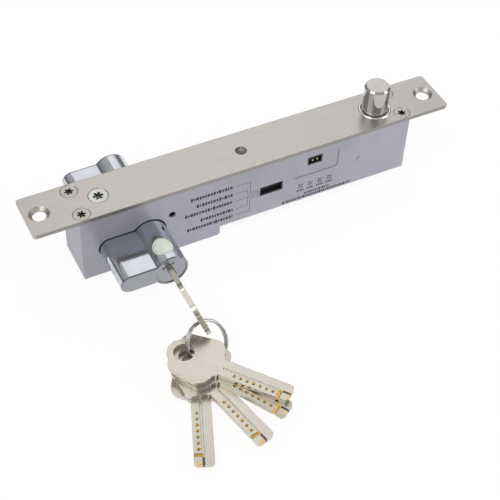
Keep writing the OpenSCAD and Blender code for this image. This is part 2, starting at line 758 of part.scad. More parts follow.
module cylinder_body() {
    edge = 0.4;
    color([0.74, 0.74, 0.77]) difference() {
        union() {
            xz(cyl_y0 + edge, cyl_y1 - edge) cyl_profile(0);
            xz(cyl_y0, cyl_y1) cyl_profile(-edge);
        }
        rod_y(cyl_x, cyl_z, plug_r + fit, cyl_y0 - 1, cyl_y1 + 1);
        rod_y(cyl_x, cyl_z, flange_r + fit, cyl_y0 - 1, cyl_y0 + flange_sunk + flange_t + fit);
        rod_y(cyl_x, cyl_z, flange_r + fit, cyl_y1 - flange_sunk - flange_t - fit, cyl_y1 + 1);
        block([cyl_x - barrel_r - 4.5, -cam_gap, cyl_z - barrel_r - 1], [cyl_x + barrel_r + 1, cam_gap,
            cyl_z + barrel_r + 1]);
        for (s = [-1, 1]) at_pins(s, 0) cylinder(r = chamber_r, h = leg_end + 1);
        translate([cyl_screw_x, 0, cyl_z - 4]) cylinder(r = cyl_screw_r + fit, h = 10);
    }
}

// A plug with its keyway, running from its face to the middle of the cam
module plug(side) {
    y0 = side < 0 ? cyl_y0 + flange_sunk : cam_gap;
    y1 = side < 0 ? -cam_gap : cyl_y1 - flange_sunk;
    f0 = side < 0 ? y0 : y1 - flange_t;
    s0 = side < 0 ? y0 - 1 : y1 - spot_depth;
    n0 = side < 0 ? -cam_gap - eps : 0.4;
    n1 = side < 0 ? -0.4 : cam_gap + eps;
    difference() {
        union() {
            rod_y(0, 0, plug_r, y0, y1);
            rod_y(0, 0, flange_r, f0, f0 + flange_t);
            rod_y(0, 0, plug_nose_r, n0, n1);
        }
        block([-keyway_t / 2, cyl_y0 - 1, -keyway_w / 2], [keyway_t / 2, cyl_y1 + 1, keyway_w / 2]);
        for (s = [-1, 1]) rod_y(s * spot_at[0], spot_at[1], spot_r, s0, s0 + 1 + spot_depth);
        for (i = [0:pin_count - 1]) translate([0, pin_y(side, i), 0]) rotate([0, -90, 0])
            cylinder(r = chamber_r, h = plug_r + 1);
    }
}

module front_plug() {
    color([0.76, 0.76, 0.78]) translate([cyl_x, 0, cyl_z]) rotate([0, plug_turn, 0]) plug(-1);
}

module rear_plug() {
    color([0.76, 0.76, 0.78]) translate([cyl_x, 0, cyl_z]) plug(1);
}

module cam() {
    color([0.68, 0.66, 0.6]) translate([cyl_x, 0, cyl_z]) rotate([0, nose_turn, 0]) difference() {
        union() {
            rod_y(0, 0, 7.4, -cam_half, cam_half);
            block([-nose_half, -cam_half, 0], [nose_half, cam_half, nose_r - nose_half]);
            rod_y(0, nose_r - nose_half, nose_half, -cam_half, cam_half);
        }
        rod_y(0, 0, plug_nose_r + fit, -cam_half - 1, cam_half + 1);
    }
}

// Retaining clip between a plug's shoulder and the cam
module plug_clip(side) {
    y = side * (cam_half + 0.15 + clip_t / 2);
    color([0.5, 0.5, 0.52]) difference() {
        rod_y(cyl_x, cyl_z, clip_r, y - clip_t / 2, y + clip_t / 2);
        rod_y(cyl_x, cyl_z, plug_nose_r + fit, y - 1, y + 1);
    }
}

module plug_clip_front() {
    plug_clip(-1);
}

module plug_clip_rear() {
    plug_clip(1);
}

// Key pins inside one plug
module key_pins(side, turn) {
    inner = key_t / 2 + 0.2;
    color([0.75, 0.62, 0.35]) at_pins(side, turn) translate([0, 0, inner]) {
        cylinder(r1 = 0.5, r2 = pin_body_r, h = 0.9);
        translate([0, 0, 0.9 - eps]) cylinder(r = pin_body_r, h = plug_r - 0.15 - inner - 0.9);
    }
}

module front_key_pins() {
    key_pins(-1, plug_turn);
}

module rear_key_pins() {
    key_pins(1, 0);
}

module driver_pins() {
    color([0.75, 0.62, 0.35]) for (s = [-1, 1]) at_pins(s, 0)
        translate([0, 0, driver_r0]) cylinder(r = pin_body_r, h = driver_l);
}

module pin_springs() {
    z0 = driver_r0 + driver_l;
    z1 = leg_end - plug_cap_l;
    color([0.65, 0.65, 0.68]) for (s = [-1, 1]) at_pins(s, 0) translate([0, 0, z0])
        helix(1, 0.22, z1 - z0, 3, 4, 6);
}

module chamber_plugs() {
    color([0.7, 0.7, 0.72]) for (s = [-1, 1]) at_pins(s, 0)
        translate([0, 0, leg_end - plug_cap_l]) cylinder(r = chamber_r - fit, h = plug_cap_l - 0.15);
}

// Outline of a key with its tip at the origin and its bow along -X
module key_outline() {
    bow_x0 = -key_l;
    bow_x1 = -blade_l;
    corner = 5;
    half = bow_w / 2;
    square_l = bow_l - 9;
    translate([-blade_l - 2, -blade_w / 2]) square([blade_l + 1.2, blade_w]);
    translate([-blade_l - 1, -blade_w / 2 - lug_out]) square([1 + lug_l, blade_w + 2 * lug_out]);
    polygon([[-0.9, -blade_w / 2], [0, -blade_w / 2 + 1.4], [0, blade_w / 2 - 1.4], [-0.9, blade_w / 2]]);
    translate([bow_x1 - 3.2, -half * 0.5]) square([3.2, half]);
    // bow with cut corners and rounded ends
    for (s = [-1, 1]) {
        translate([bow_x1 - 3.2 - corner * 0.6, s * (half - corner)]) circle(corner);
        translate([bow_x0 + corner + 3.2, s * (half - corner - 1.6)]) circle(corner);
    }
    polygon([[bow_x1 - 3.2 - corner * 0.6, half], [bow_x0 + corner + 3.2, half - 1.6],
        [bow_x0 + 0.6, half - corner - 4.2], [bow_x0 + 0.6, -(half - corner - 4.2)],
        [bow_x0 + corner + 3.2, -(half - 1.6)], [bow_x1 - 3.2 - corner * 0.6, -half],
        [bow_x1 - 0.6, -half * 0.62], [bow_x1 - 0.6, half * 0.62]]);
    translate([bow_x0 + 4.2, 0]) circle(4.2);
}

// A dimple key lying flat: tip at the origin, bow along -X, from z = 0 up
module key_blank() {
    groove = 0.45;
    groove_y = -0.3;
    dimple_y = blade_w / 2 - 2.2;
    dimple_pitch = 3;
    dimple_count = 7;
    difference() {
        linear_extrude(key_t) key_outline();
        translate([-hole_from_tip, 0, -1]) cylinder(r = bow_hole_r, h = key_t + 2);
        for (s = [0, 1]) translate([0, 0, s * key_t]) mirror([0, 0, s]) {
            block([-blade_l + 2, groove_y - 0.5, -1], [1, groove_y + 0.5, groove]);
            for (i = [0:dimple_count - 1]) translate([-7.5 - i * dimple_pitch, -dimple_y, -eps])
                cylinder(r1 = 0.8, r2 = 0.35, h = 0.5);
            translate([-4.6, -blade_w / 2 - 1, -eps]) rotate([-90, 0, 0])
                cylinder(r = 0.8, h = blade_w / 2 + groove_y + 1);
        }
    }
}

module key_in_lock() {
    color([0.8, 0.79, 0.76]) translate([cyl_x, tip_y, cyl_z]) rotate([0, plug_turn, 0])
        rotate([0, 90, 0]) rotate([0, 0, 90]) translate([0, 0, -key_t / 2]) key_blank();
}

module key_ring() {
    color([0.78, 0.78, 0.78]) translate(ring_c) rotate([0, 0, ring_yaw]) rotate([90 - ring_lean, 0, 0])
        rotate_extrude()
            for (s = [-1, 1]) translate([ring_mid_r, s * (wire_r - turn_sink)]) circle(wire_r, $fn = 24);
}

// A loose key: its layer counts up from the lowest
module loose_key(layer) {
    z0 = layer_z0 + layer * layer_t;
    drop = (z0 + key_t / 2 - ring_c[2]) / cos(ring_lean);
    reach = sqrt(ring_mid_r * ring_mid_r - drop * drop) + spare_shift[layer];
    lean = drop * sin(ring_lean);
    hole = [ring_c[0] - reach * cos(ring_yaw) - lean * sin(ring_yaw),
        ring_c[1] - reach * sin(ring_yaw) + lean * cos(ring_yaw), z0];
    if (layer < spare_count)
        color([0.8, 0.77, 0.7]) translate(hole) rotate([0, 0, spare_angles[layer]])
            translate([hole_from_tip, 0, 0]) key_blank();
}

module loose_key_1() {
    loose_key(0);
}

module loose_key_2() {
    loose_key(1);
}

module loose_key_3() {
    loose_key(2);
}

module loose_key_4() {
    loose_key(3);
}

faceplate();
case();
rear_cover();
cover_screws();
case_screws();
case_rivet();
cylinder_screw();
led_bezel();
led_lens();
bolt_bush();
bolt();
bolt_pin();
crank();
crank_pin();
plunger();
plunger_pin();
plunger_spring();
solenoid_frame();
coil_bobbin();
coil_winding();
solenoid_core();
circuit_board();
wire_connector();
connector_pins();
delay_header();
header_pins();
relay();
control_chip();
capacitor();
door_sensor();
bolt_sensor();
override_bar();
bar_guides();
cylinder_body();
front_plug();
rear_plug();
cam();
plug_clip_front();
plug_clip_rear();
front_key_pins();
rear_key_pins();
driver_pins();
pin_springs();
chamber_plugs();
key_in_lock();
key_ring();
loose_key_1();
loose_key_2();
loose_key_3();
loose_key_4();
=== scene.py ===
"""Studio scene of an electric drop-bolt lock with a profile cylinder and a ring of keys.

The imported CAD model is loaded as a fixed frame. This script gives every piece its finish, adds the
printed marks and the blank sticker, and places the camera, the floor and the lamps. Positions are
written in millimetres of the shared frame and turned to metres with MM.
"""

from __future__ import annotations

import logging
import math
from dataclasses import dataclass, field
from enum import Enum

import bmesh
import bpy
from mathutils import Matrix, Vector


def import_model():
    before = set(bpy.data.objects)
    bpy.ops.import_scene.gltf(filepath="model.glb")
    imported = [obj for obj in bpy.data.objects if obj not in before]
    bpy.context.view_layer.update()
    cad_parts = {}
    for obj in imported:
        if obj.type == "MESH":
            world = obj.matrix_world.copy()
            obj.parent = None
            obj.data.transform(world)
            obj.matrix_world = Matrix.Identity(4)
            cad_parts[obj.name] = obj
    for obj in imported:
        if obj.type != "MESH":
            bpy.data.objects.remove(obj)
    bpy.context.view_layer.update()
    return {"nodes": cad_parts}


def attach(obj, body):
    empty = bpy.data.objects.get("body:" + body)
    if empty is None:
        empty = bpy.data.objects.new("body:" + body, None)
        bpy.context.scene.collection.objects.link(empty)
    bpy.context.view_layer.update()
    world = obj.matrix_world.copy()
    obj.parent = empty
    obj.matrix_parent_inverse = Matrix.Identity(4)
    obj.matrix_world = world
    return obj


LOG = logging.getLogger("lock_scene")
MM = 0.001
RELIEF_DEPTH = 0.1
COAT_ROUGHNESS = 0.12
# Colour sockets of the Mix node, which has one set for each data type
MIX_FIRST, MIX_SECOND, MIX_RESULT = 6, 7, 2
# Axis and radius of the cylinder's barrel, and the middle of its sticker
BARREL_X = -53.4
BARREL_Z = -20.6
BARREL_R = 8.5
STICKER_Y = -28.8

Colour = tuple[float, float, float]
Point = tuple[float, float, float]


class Axis(Enum):
    """Directions of the shared frame."""

    X = 0
    Y = 1
    Z = 2


class Field:
    """A node socket that takes part in Python arithmetic."""

    def __init__(self, graph: Graph, socket: bpy.types.NodeSocket) -> None:
        """Wraps one output socket.

        Args:
            graph: The node tree that the socket belongs to.
            socket: The output socket.
        """
        self.graph = graph
        self.socket = socket

    def _math(self, operation: str, *values: Field | float) -> Field:
        """Adds one Math node.

        Args:
            operation: Name of the Math node's operation.
            values: Its inputs in order.

        Returns:
            The node's result.
        """
        return self.graph.node("ShaderNodeMath", {"operation": operation}, dict(enumerate(values)))

    def __add__(self, other: Field | float) -> Field:
        """Sum of two values."""
        return self._math("ADD", self, other)

    __radd__ = __add__

    def __sub__(self, other: Field | float) -> Field:
        """Difference of two values."""
        return self._math("SUBTRACT", self, other)

    def __rsub__(self, other: float) -> Field:
        """A number less this value."""
        return self._math("SUBTRACT", other, self)

    def __mul__(self, other: Field | float) -> Field:
        """Product of two values."""
        return self._math("MULTIPLY", self, other)

    __rmul__ = __mul__

    def __truediv__(self, other: Field | float) -> Field:
        """Quotient of two values."""
        return self._math("DIVIDE", self, other)

    def __abs__(self) -> Field:
        """Absolute value."""
        return self._math("ABSOLUTE", self)

    def __lt__(self, other: Field | float) -> Field:
        """1 where this value is below the other, else 0."""
        return self._math("LESS_THAN", self, other)

    def __gt__(self, other: Field | float) -> Field:
        """1 where this value is above the other, else 0."""
        return self._math("GREATER_THAN", self, other)

    def high(self, other: Field | float) -> Field:
        """Larger of two values."""
        return self._math("MAXIMUM", self, other)

    def root(self) -> Field:
        """Square root."""
        return self._math("SQRT", self)

    def sine(self) -> Field:
        """Sine of the value in radians."""
        return self._math("SINE", self)

    def fraction(self) -> Field:
        """What is left above the next lower whole number."""
        return self._math("FRACT", self)

    def step(self, start: float, end: float) -> Field:
        """Smooth rise from 0 at start to 1 at end.

        Args:
            start: Value at which the result is 0.
            end: Value at which the result is 1.

        Returns:
            The rise, held at 0 and 1 outside.
        """
        settings = {"interpolation_type": "SMOOTHSTEP", "clamp": True}
        inputs = {0: self, 1: start, 2: end, 3: 0.0, 4: 1.0}
        return self.graph.node("ShaderNodeMapRange", settings, inputs)


class Graph:
    """The node tree of one material or of the world."""

    def __init__(self, tree: bpy.types.NodeTree) -> None:
        """Empties a node tree and keeps it.

        Args:
            tree: Tree to fill.
        """
        self.tree = tree
        tree.nodes.clear()

    def node(
        self,
        kind: str,
        settings: dict[str, object] | None = None,
        inputs: dict[int | str, object] | None = None,
        out: int | str = 0,
    ) -> Field:
        """Adds a node, sets it up and links it.

        Args:
            kind: Type name of the node.
            settings: Attributes set before the inputs.
            inputs: Values or fields for its sockets, by name or number.
            out: Output that is wanted.

        Returns:
            The chosen output.
        """
        made = self.tree.nodes.new(kind)
        for name, value in (settings or {}).items():
            setattr(made, name, value)
        for name, value in (inputs or {}).items():
            if isinstance(value, Field):
                self.tree.links.new(value.socket, made.inputs[name])
            elif isinstance(value, tuple) and made.inputs[name].type == "RGBA":
                made.inputs[name].default_value = (*value, 1.0)
            else:
                made.inputs[name].default_value = value
        return Field(self, made.outputs[out])

    def finish(self, shader: Field, kind: str = "ShaderNodeOutputMaterial") -> None:
        """Links a shader to the tree's output.

        Args:
            shader: The shader.
            kind: Type name of the output node.
        """
        last = self.tree.nodes.new(kind)
        self.tree.links.new(shader.socket, last.inputs["Surface"])

    def mix(self, first: Field | Colour, second: Field | Colour, factor: Field | float) -> Field:
        """Blends two colours.

        Args:
            first: Colour at factor 0.
            second: Colour at factor 1.
            factor: Share of the second colour.

        Returns:
            The blended colour.
        """
        settings = {"data_type": "RGBA", "clamp_factor": True}
        inputs = {0: factor, MIX_FIRST: first, MIX_SECOND: second}
        return self.node("ShaderNodeMix", settings, inputs, MIX_RESULT)

    def vector(self, operation: str, first: object, second: object) -> Field:
        """Adds one Vector Math node.

        Args:
            operation: Name of its operation.
            first: First vector.
            second: Second vector.

        Returns:
            The resulting vector.
        """
        return self.node("ShaderNodeVectorMath", {"operation": operation}, {0: first, 1: second})

    def place(self) -> Field:
        """Position in the shared frame at rest, in millimetres."""
        spot = self.node("ShaderNodeTexCoord", out="Object")
        return self.vector("MULTIPLY", spot, (1.0 / MM, 1.0 / MM, 1.0 / MM))

    def parts(self, spot: Field) -> tuple[Field, Field, Field]:
        """Splits a vector into its three numbers.

        Args:
            spot: The vector.

        Returns:
            Its x, y and z.
        """
        split = self.node("ShaderNodeSeparateXYZ", None, {0: spot}).socket.node
        return tuple(Field(self, split.outputs[i]) for i in range(3))

    def join(self, x: Field | float, y: Field | float, z: Field | float) -> Field:
        """Puts three numbers together as a vector."""
        return self.node("ShaderNodeCombineXYZ", None, {0: x, 1: y, 2: z})

    def noise(self, spot: Field, scale: float, detail: float = 2.0, rough: float = 0.5) -> Field:
        """Soft noise around 0.5.

        Args:
            spot: Where it is read.
            scale: Number of blobs per unit.
            detail: Number of finer layers.
            rough: Strength of the finer layers.

        Returns:
            The noise value.
        """
        inputs = {"Vector": spot, "Scale": scale, "Detail": detail, "Roughness": rough}
        return self.node("ShaderNodeTexNoise", None, inputs)

    def lines(self, spot: Field, along: Axis, scale: float, ratio: float) -> Field:
        """Noise drawn out into lines along one direction.

        Args:
            spot: Where it is read.
            along: Direction of the lines.
            scale: Number of lines per unit across.
            ratio: How many times longer than wide a line is.

        Returns:
            The noise value.
        """
        scales = [scale, scale, scale]
        scales[along.value] = scale / ratio
        return self.noise(self.vector("MULTIPLY", spot, tuple(scales)), 1.0, 3.0, 0.6)


@dataclass(frozen=True)
class Finish:
    """A plain surface finish: its colour, gloss and fine relief."""

    name: str
    base: Colour
    roughness: float = 0.4
    metallic: float = 0.0
    coat: float = 0.0
    edge: float = 0.2
    relief: float = 0.1
    alpha: float = 1.0

    def tone(self, share: float) -> Colour:
        """The finish's colour, lighter or darker.

        Args:
            share: Factor on each channel.

        Returns:
            The toned colour.
        """
        return tuple(share * c for c in self.base)

    def shade(self, graph: Graph, spot: Field) -> tuple[object, object, Field]:
        """Colour, roughness and height of the finish.

        Args:
            graph: Tree that is being built.
            spot: Position in millimetres.

        Returns:
            Base colour, roughness and height.
        """
        colour = graph.mix(self.base, self.tone(0.86), graph.noise(spot, 0.35, 3.0))
        rough = self.roughness + 0.12 * (graph.noise(spot, 0.8, 4.0, 0.6) - 0.5)
        return colour, rough, graph.noise(spot, 6.0, 2.0)

    def build(self) -> bpy.types.Material:
        """Makes the material once and hands the same one out again later.

        Returns:
            The material.
        """
        name = f"look_{self.name}"
        ready = bpy.data.materials.get(name)
        if ready is not None:
            return ready
        made = bpy.data.materials.new(name)
        made.use_nodes = True
        graph = Graph(made.node_tree)
        colour, rough, height = self.shade(graph, graph.place())
        rounded = graph.node("ShaderNodeBevel", {"samples": 4}, {"Radius": self.edge * MM})
        bump = {
            "Strength": self.relief,
            "Distance": RELIEF_DEPTH * MM,
            "Height": height,
            "Normal": rounded,
        }
        normal = graph.node("ShaderNodeBump", None, bump)
        inputs = {
            "Base Color": colour,
            "Roughness": rough,
            "Metallic": self.metallic,
            "Coat Weight": self.coat,
            "Coat Roughness": COAT_ROUGHNESS,
            "Alpha": self.alpha,
            "Normal": normal,
        }
        graph.finish(graph.node("ShaderNodeBsdfPrincipled", None, inputs))
        return made


@dataclass(frozen=True)
class Brushed(Finish):
    """Steel brushed along one direction, with handling smudges and painted shade on its long side
    faces.
    """

    along: Axis = Axis.X
    grain: float = 9.0
    contrast: float = 0.16
    half_w: float = 12.5
    side_in: float = 0.12
    side_soft: float = 0.08
    side_shade_tone: float = 0.55

    def shade(self, graph: Graph, spot: Field) -> tuple[object, object, Field]:
        """Colour, roughness and height with lengthwise grain.

        Args:
            graph: Tree that is being built.
            spot: Position in millimetres.

        Returns:
            Base colour, roughness and height.
        """
        fine = graph.lines(spot, self.along, self.grain, 60.0)
        broad = graph.lines(spot, self.along, self.grain / 7.0, 24.0)
        smudge = graph.noise(spot, 0.045, 3.0, 0.6).step(0.35, 0.75)
        grain = (fine * 0.65 + broad * 0.35).step(0.3, 0.7)
        dark = self.tone(1.0 - self.contrast)
        colour = graph.mix(dark, self.base, grain)
        colour = graph.mix(colour, self.tone(1.04), smudge * 0.5)
        # painted shade: the plate's long side faces are darkened to the side shade tone
        inner = self.half_w - self.side_in
        side = abs(graph.parts(spot)[1]).step(inner, inner + self.side_soft)
        colour = graph.mix(colour, self.tone(self.side_shade_tone), side)
        rough = self.roughness + 0.14 * (fine - 0.5) + 0.06 * (smudge - 0.5)
        return colour, rough, fine


@dataclass(frozen=True)
class Paint(Finish):
    """Satin metallic paint over a casting, slightly pebbled and rubbed."""

    flake: float = 5.0

    def shade(self, graph: Graph, spot: Field) -> tuple[object, object, Field]:
        """Colour, roughness and height of the paint.

        Args:
            graph: Tree that is being built.
            spot: Position in millimetres.

        Returns:
            Base colour, roughness and height.
        """
        flakes = graph.noise(spot, self.flake, 2.0, 0.8).step(0.42, 0.62)
        drift = graph.noise(spot, 0.03, 3.0, 0.55)
        worn = graph.noise(spot, 0.1, 2.0).step(0.5, 0.7)
        rub = graph.lines(spot, Axis.X, 1.1, 14.0).step(0.62, 0.8) * worn
        colour = graph.mix(self.base, self.tone(1.1), flakes * 0.7)
        colour = graph.mix(colour, self.tone(0.9), drift.step(0.35, 0.7))
        colour = graph.mix(colour, self.tone(1.16), rub * 0.4)
        rough = self.roughness + 0.1 * (flakes - 0.5) - 0.08 * rub
        return colour, rough, graph.noise(spot, 3.2, 3.0, 0.6)


@dataclass(frozen=True)
class Plated(Finish):
    """Polished or satin plating with faint turning lines and fine scratches."""

    along: Axis = Axis.Y
    turned: float = 6.0

    def shade(self, graph: Graph, spot: Field) -> tuple[object, object, Field]:
        """Colour, roughness and height of the plating.

        Args:
            graph: Tree that is being built.
            spot: Position in millimetres.

        Returns:
            Base colour, roughness and height.
        """
        rings = graph.parts(spot)[self.along.value] * self.turned
        settings = {"noise_dimensions": "1D"}
        inputs = {"W": rings, "Scale": 1.0, "Detail": 3.0}
        turning = graph.node("ShaderNodeTexNoise", settings, inputs)
        scratch = graph.lines(spot, Axis.X, 3.0, 18.0).step(0.66, 0.74)
        cloud = graph.noise(spot, 0.14, 3.0, 0.6)
        colour = graph.mix(self.base, self.tone(0.9), cloud.step(0.4, 0.7))
        colour = graph.mix(colour, self.tone(0.8), scratch * 0.35)
        rough = self.roughness + 0.06 * (turning - 0.5) + 0.07 * (cloud - 0.5) + 0.08 * scratch
        return colour, rough, turning


@dataclass(frozen=True)
class Screw(Plated):
    """Zinc plated screw with dark brown painted shade in the recess of its head."""

    along: Axis = Axis.Z
    shade_top_z: float = 1.55
    fade: float = 0.5
    painted_shade: Colour = (0.06, 0.04, 0.025)

    def shade(self, graph: Graph, spot: Field) -> tuple[object, object, Field]:
        """Colour, roughness and height, dark below the top of the head.

        Args:
            graph: Tree that is being built.
            spot: Position in millimetres.

        Returns:
            Base colour, roughness and height.
        """
        colour, rough, turning = super().shade(graph, spot)
        # painted shade: everything below the top of the head is darkened to a dark brown and made
        # rougher
        recess_shade = 1.0 - graph.parts(spot)[2].step(self.shade_top_z - self.fade, self.shade_top_z)
        return graph.mix(colour, self.painted_shade, recess_shade * 0.9), rough + 0.3 * recess_shade, turning


@dataclass(frozen=True)
class Faced(Plated):
    """Bright plating on the sides; the turned end faces are more matt, and their greyer tone is
    painted shade.
    """

    half: float = 37.5
    end_in: float = 0.9
    end_soft: float = 0.2
    end_shade_tone: float = 0.57

    def shade(self, graph: Graph, spot: Field) -> tuple[object, object, Field]:
        """Colour, roughness and height: more matt at both ends along Y, where the darker grey is
        painted shade.

        Args:
            graph: Tree that is being built.
            spot: Position in millimetres.

        Returns:
            Base colour, roughness and height.
        """
        colour, rough, turning = super().shade(graph, spot)
        # painted shade: the end faces get a darker grey that stands in for a dimmer reflection; the
        # roughness rise makes them more matt
        inner = self.half - self.end_in
        end = abs(graph.parts(spot)[1]).step(inner, inner + self.end_soft)
        return graph.mix(colour, self.tone(self.end_shade_tone), end), rough + 0.16 * end, turning


@dataclass(frozen=True)
class Wound(Finish):
    """Enamelled wire laid side by side round a coil along X, with painted shade in the creases
    between turns.
    """

    pitch: float = 0.45

    def shade(self, graph: Graph, spot: Field) -> tuple[object, object, Field]:
        """Colour, roughness and height of the winding.

        Args:
            graph: Tree that is being built.
            spot: Position in millimetres.

        Returns:
            Base colour, roughness and height.
        """
        x = graph.parts(spot)[0]
        turn = (x * (2.0 * math.pi / self.pitch)).sine() * 0.5 + 0.5
        tint = graph.noise(spot, 0.6, 2.0)
        # painted shade: the creases between turns are darkened
        colour = graph.mix(self.tone(0.4), self.base, turn.step(0.05, 0.6))
        colour = graph.mix(colour, self.tone(1.15), tint * 0.4)
        return colour, self.roughness + 0.1 * (tint - 0.5), turn


@dataclass(frozen=True)
class Board(Finish):
    """Solder mask over copper tracks on the circuit board."""

    track: float = 2.4

    def shade(self, graph: Graph, spot: Field) -> tuple[object, object, Field]:
        """Colour, roughness and height of the board.

        Args:
            graph: Tree that is being built.
            spot: Position in millimetres.

        Returns:
            Base colour, roughness and height.
        """
        x, _, z = graph.parts(spot)
        bend = graph.noise(spot, 0.12, 0.0) * 3.0
        rows = abs(((z + bend) / self.track).fraction() - 0.5).step(0.3, 0.36)
        cols = abs(((x + bend) / (1.6 * self.track)).fraction() - 0.5).step(0.4, 0.44)
        track = rows.high(cols)
        colour = graph.mix(self.base, self.tone(1.9), track)
        return colour, self.roughness + 0.1 * track, track


@dataclass(frozen=True)
class KeyMetal(Finish):
    """Nickel silver of a key: rolled flats, polished edges, brass showing in the milled dimples, and
    painted shade in the groove and at the dimples' centres.

    The key's own frame has its tip at the origin and its bow along -X; matrix rows take a point
    of the shared frame, in millimetres, to it.
    """

    rows: tuple[tuple[float, float, float, float], ...] = ()
    thick: float = 2.3
    skin: float = 0.02
    row_y: float = -2.1
    groove_y: float = -0.3
    groove_half: float = 0.6
    pitch: float = 3.0
    first: float = 7.5
    count: int = 7
    dimple_r: float = 0.85
    notch: float = 4.6
    notch_half: float = 0.8
    tip_spot: float = 1.5
    gold: Colour = (0.72, 0.5, 0.16)
    painted_shade: Colour = (0.03, 0.025, 0.02)

    def local(self, graph: Graph, spot: Field) -> tuple[Field, Field, Field]:
        """Position in the key's own frame.

        Args:
            graph: Tree that is being built.
            spot: Position in millimetres.

        Returns:
            Distance back from the tip, across the blade, and through the thickness.
        """
        settings = {"operation": "DOT_PRODUCT"}
        out = []
        for *turn, shift in self.rows:
            inputs = {0: spot, 1: tuple(turn)}
            out.append(graph.node("ShaderNodeVectorMath", settings, inputs, "Value") + shift)
        return tuple(out)

    def shade(self, graph: Graph, spot: Field) -> tuple[object, object, Field]:
        """Colour, roughness and height of the key.

        Args:
            graph: Tree that is being built.
            spot: Position in millimetres.

        Returns:
            Base colour, roughness and height.
        """
        x, y, z = self.local(graph, spot)
        back = x * -1.0
        below = abs(z - self.thick / 2) < self.thick / 2 - self.skin
        near = (((back - self.first) / self.pitch + 0.5).fraction() - 0.5) * self.pitch
        off = y - self.row_y
        away = (near * near + off * off).root()
        last = self.first + (self.count - 1) * self.pitch
        on_row = (back > self.first - 1.0) * (back < last + 1.0)
        dimple = (1.0 - away.step(self.dimple_r - 0.1, self.dimple_r + 0.1)) * on_row * below
        from_notch = abs(back - self.notch)
        in_notch = 1.0 - from_notch.step(self.notch_half - 0.05, self.notch_half + 0.1)
        notch = in_notch * (y < self.groove_y + self.groove_half) * below
        at_tip = 1.0 - back.step(self.tip_spot - 0.3, self.tip_spot + 0.3)
        spot_at_tip = at_tip * (y < self.groove_y) * (y > 1.5 * self.row_y)
        from_groove = abs(y - self.groove_y)
        in_groove = 1.0 - from_groove.step(self.groove_half - 0.2, self.groove_half - 0.05)
        groove_shade = in_groove * (back < self.notch - self.notch_half - 0.1) * below
        shade = (1.0 - away.step(0.25, 0.4)) * on_row * below
        grain = graph.lines(graph.join(x, y, z), Axis.X, 5.0, 20.0)
        cloud = graph.noise(spot, 0.2, 3.0, 0.6)
        colour = graph.mix(self.tone(0.86), self.base, grain.step(0.3, 0.7))
        colour = graph.mix(colour, self.tone(0.9), cloud * 0.5)
        gold = dimple.high(notch).high(spot_at_tip * 0.7)
        colour = graph.mix(colour, self.gold, gold)
        # painted shade: the groove walls and the dimples' centres are darkened to near black
        colour = graph.mix(colour, self.painted_shade, groove_shade.high(shade) * 0.85)
        rough = self.roughness + 0.12 * (grain - 0.5) + 0.08 * (cloud - 0.5) - 0.08 * gold
        return colour, rough, grain


@dataclass(frozen=True)
class Printed(Finish):
    """Screen ink, or the paper of the round sticker."""

    fleck: float = 4.0

    def shade(self, graph: Graph, spot: Field) -> tuple[object, object, Field]:
        """Colour, roughness and height of ink or paper.

        Args:
            graph: Tree that is being built.
            spot: Position in millimetres.

        Returns:
            Base colour, roughness and height.
        """
        grain = graph.noise(spot, self.fleck, 3.0, 0.7)
        pale = tuple(min(1.0, 1.12 * c + 0.01) for c in self.base)
        colour = graph.mix(self.base, pale, grain)
        return colour, self.roughness + 0.1 * (grain - 0.5), grain


@dataclass(frozen=True)
class Sticky(Printed):
    """Pale paper of the round sticker, with a thin printed rim."""

    middle: Point = (BARREL_X, STICKER_Y, BARREL_Z + BARREL_R)
    rim: float = 4.45
    tint: Colour = (0.38, 0.58, 0.34)

    def shade(self, graph: Graph, spot: Field) -> tuple[object, object, Field]:
        """Colour, roughness and height of the sticker.

        Args:
            graph: Tree that is being built.
            spot: Position in millimetres.

        Returns:
            Base colour, roughness and height.
        """
        colour, rough, grain = super().shade(graph, spot)
        x, y, _ = graph.parts(graph.vector("SUBTRACT", spot, self.middle))
        away = (x * x + y * y).root()
        ring = 1.0 - abs(away - self.rim).step(0.08, 0.2)
        return graph.mix(colour, self.tint, ring * 0.7), rough, grain


PLATE_STEEL = Brushed("plate_steel", (0.56, 0.53, 0.5), 0.32, 1.0, edge=0.25, relief=0.12)
CASE_PAINT = Paint("case_paint", (0.46, 0.46, 0.525), 0.4, 0.4, edge=0.3, relief=0.12)
SCREW_STEEL = Screw("screw_steel", (0.5, 0.475, 0.44), 0.3, 1.0, edge=0.2, relief=0.06)
# Dark painted shade for the recess of the cylinder screw's head
LEG_PAINTED_SHADE = (0.1, 0.09, 0.08)
LEG_SCREW = Screw("leg_screw", (0.6, 0.6, 0.59), 0.24, 1.0, edge=0.25, relief=0.06, painted_shade=LEG_PAINTED_SHADE)
CHROME = Plated("bolt_chrome", (0.52, 0.5, 0.49), 0.06, 1.0, edge=0.3, relief=0.02, along=Axis.Z)
BUSH = Plated("bush_chrome", (0.95, 0.95, 0.95), 0.22, 1.0, edge=0.35, relief=0.02, along=Axis.Z)
NICKEL = Faced("satin_nickel", (0.6, 0.62, 0.665), 0.07, 1.0, edge=0.3, relief=0.02, along=Axis.Y)
MACHINED = Plated("machined_steel", (0.55, 0.55, 0.57), 0.3, 1.0, edge=0.15, along=Axis.X)
ZINC = Plated("zinc_plate", (0.62, 0.58, 0.48), 0.34, 1.0, edge=0.15, relief=0.08, along=Axis.X)
SPRING = Plated("spring_wire", (0.42, 0.42, 0.45), 0.3, 1.0, edge=0.05, relief=0.05)
BRASS = Plated("turned_brass", (0.76, 0.56, 0.27), 0.25, 1.0, edge=0.05, relief=0.05)
GOLD = Plated("gold_plate", (0.88, 0.68, 0.35), 0.2, 1.0, edge=0.05, relief=0.03)
BLACK = Finish("black_plastic", (0.012, 0.012, 0.014), 0.45, edge=0.1, relief=0.15)
